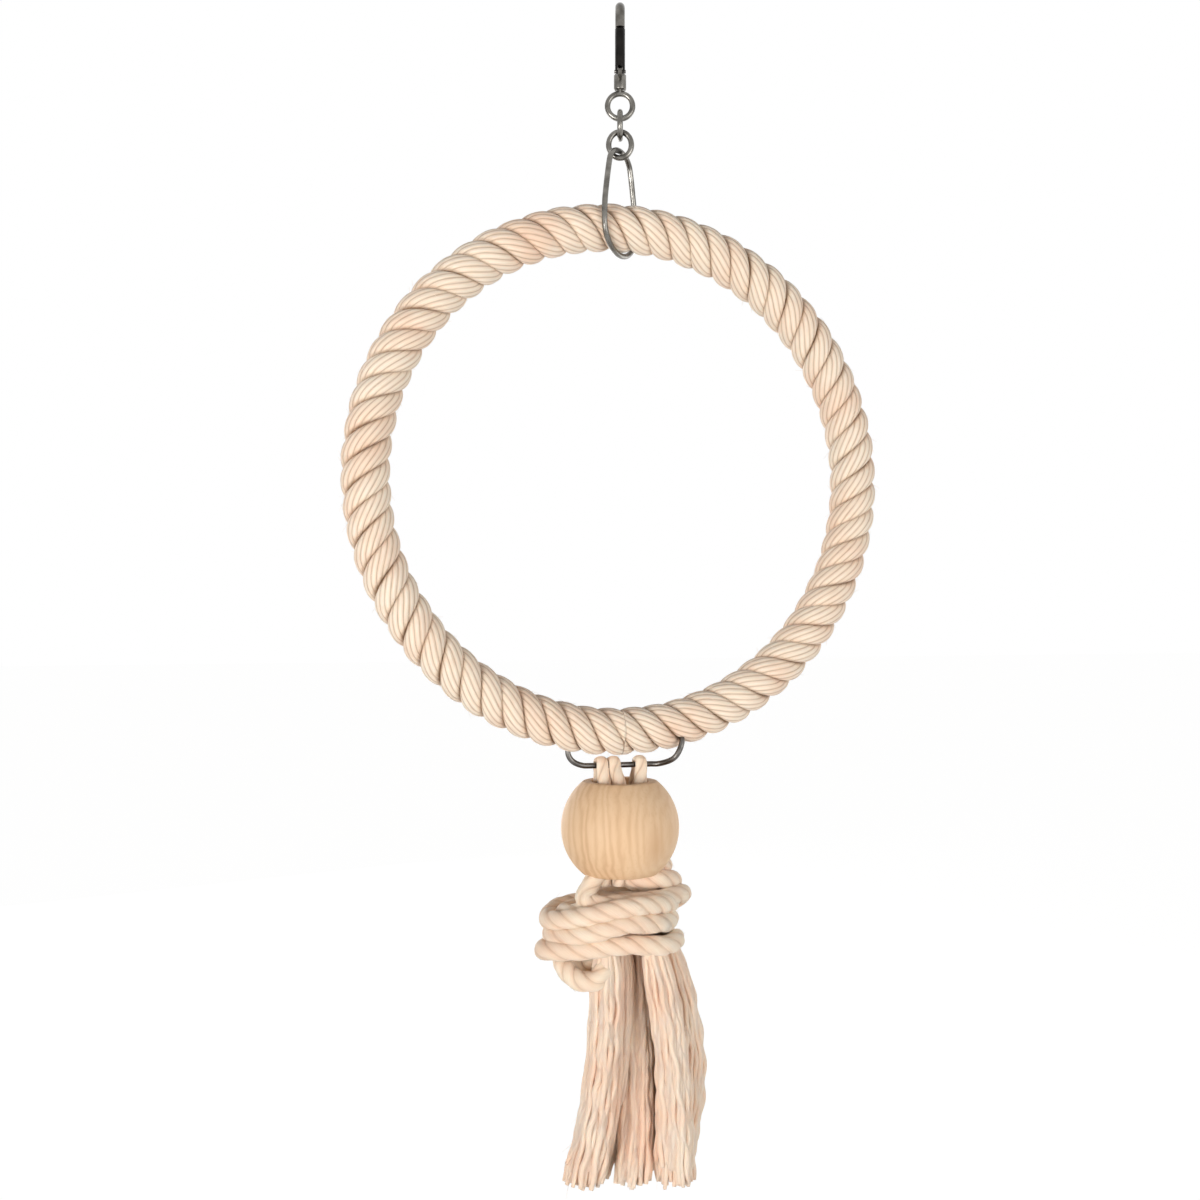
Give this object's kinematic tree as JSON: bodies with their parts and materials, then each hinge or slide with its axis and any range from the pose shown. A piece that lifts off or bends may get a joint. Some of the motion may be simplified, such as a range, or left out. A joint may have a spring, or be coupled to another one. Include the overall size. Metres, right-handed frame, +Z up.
{
  "type": "rope ring hanging bird toy",
  "caption": "Hanging cage toy for birds: rope-wrapped ring on a chain and swivel snap hook, with a turned wooden bead and a knotted cotton tassel below.",
  "frame": {"origin": "inside of the snap hook's top bow, where the toy hangs on a bar", "axes": "+Z up along the hanging line, X across the ring, Y through the ring"},
  "size_m": [0.233, 0.05, 0.498],
  "materials": {
    "nickel": "dull nickel plate",
    "steel": "drawn wire",
    "cotton": "undyed laid cotton",
    "beech": "turned, untreated"
  },
  "bodies": {
    "snap": {"snap_body": "nickel", "gate_pivot_pin": "steel"},
    "gate": {"snap_gate": "nickel", "gate_spring": "steel"},
    "eye": {"swivel_eye": "nickel"},
    "upper_link": {"chain_link_upper": "nickel"},
    "lower_link": {"chain_link_lower": "nickel"},
    "bail": {"hanging_bail": "nickel"},
    "ring": {"hoop_core": "steel", "hoop_rope": "cotton", "tassel_hanger": "steel"},
    "tassel": {"tassel_cord_1": "cotton", "tassel_cord_2": "cotton", "tassel_cord_3": "cotton", "tassel_knot": "cotton", "tassel_strand_1": "cotton", "tassel_strand_2": "cotton", "tassel_strand_3": "cotton", "tassel_strand_4": "cotton", "tassel_strand_5": "cotton", "tassel_strand_6": "cotton"},
    "bead": {"wooden_bead": "beech"}
  },
  "joints": [
    {"name": "gate_hinge", "type": "hinge", "parent": "snap", "child": "gate", "pos_m": [-0.00171, -0.00638, -0.027], "axis": [-0.9659, 0.2588, 0], "range_deg": [0, 26], "stiffness_Nm_per_rad": 0.02, "springref_deg": -17.19, "deforming": ["gate_spring"]},
    {"name": "eye_swivel", "type": "hinge", "parent": "snap", "child": "eye", "pos_m": [0, 0, -0.03], "axis": [0, 0, 1], "continuous": true},
    {"name": "upper_link_swing", "type": "hinge", "parent": "eye", "child": "upper_link", "pos_m": [0, 0, -0.0445], "axis": [0.9659, -0.2588, 0], "range_deg": [-40, 40]},
    {"name": "lower_link_swing", "type": "hinge", "parent": "upper_link", "child": "lower_link", "pos_m": [0, 0, -0.0528], "axis": [0.2588, 0.9659, 0], "range_deg": [-40, 40]},
    {"name": "bail_swing", "type": "hinge", "parent": "lower_link", "child": "bail", "pos_m": [0, 0, -0.0611], "axis": [0.9659, -0.2588, 0], "range_deg": [-35, 35]},
    {"name": "ring_turn", "type": "hinge", "parent": "bail", "child": "ring", "pos_m": [0, 0, -0.1974], "axis": [0, 1, 0], "range_deg": [-30, 30]},
    {"name": "tassel_swing", "type": "hinge", "parent": "ring", "child": "tassel", "pos_m": [0, 0, -0.3181], "axis": [1, 0, 0], "range_deg": [-45, 45]},
    {"name": "bead_turn", "type": "hinge", "parent": "tassel", "child": "bead", "pos_m": [0, 0, -0.3444], "axis": [0, 0, 1], "continuous": true}
  ]
}
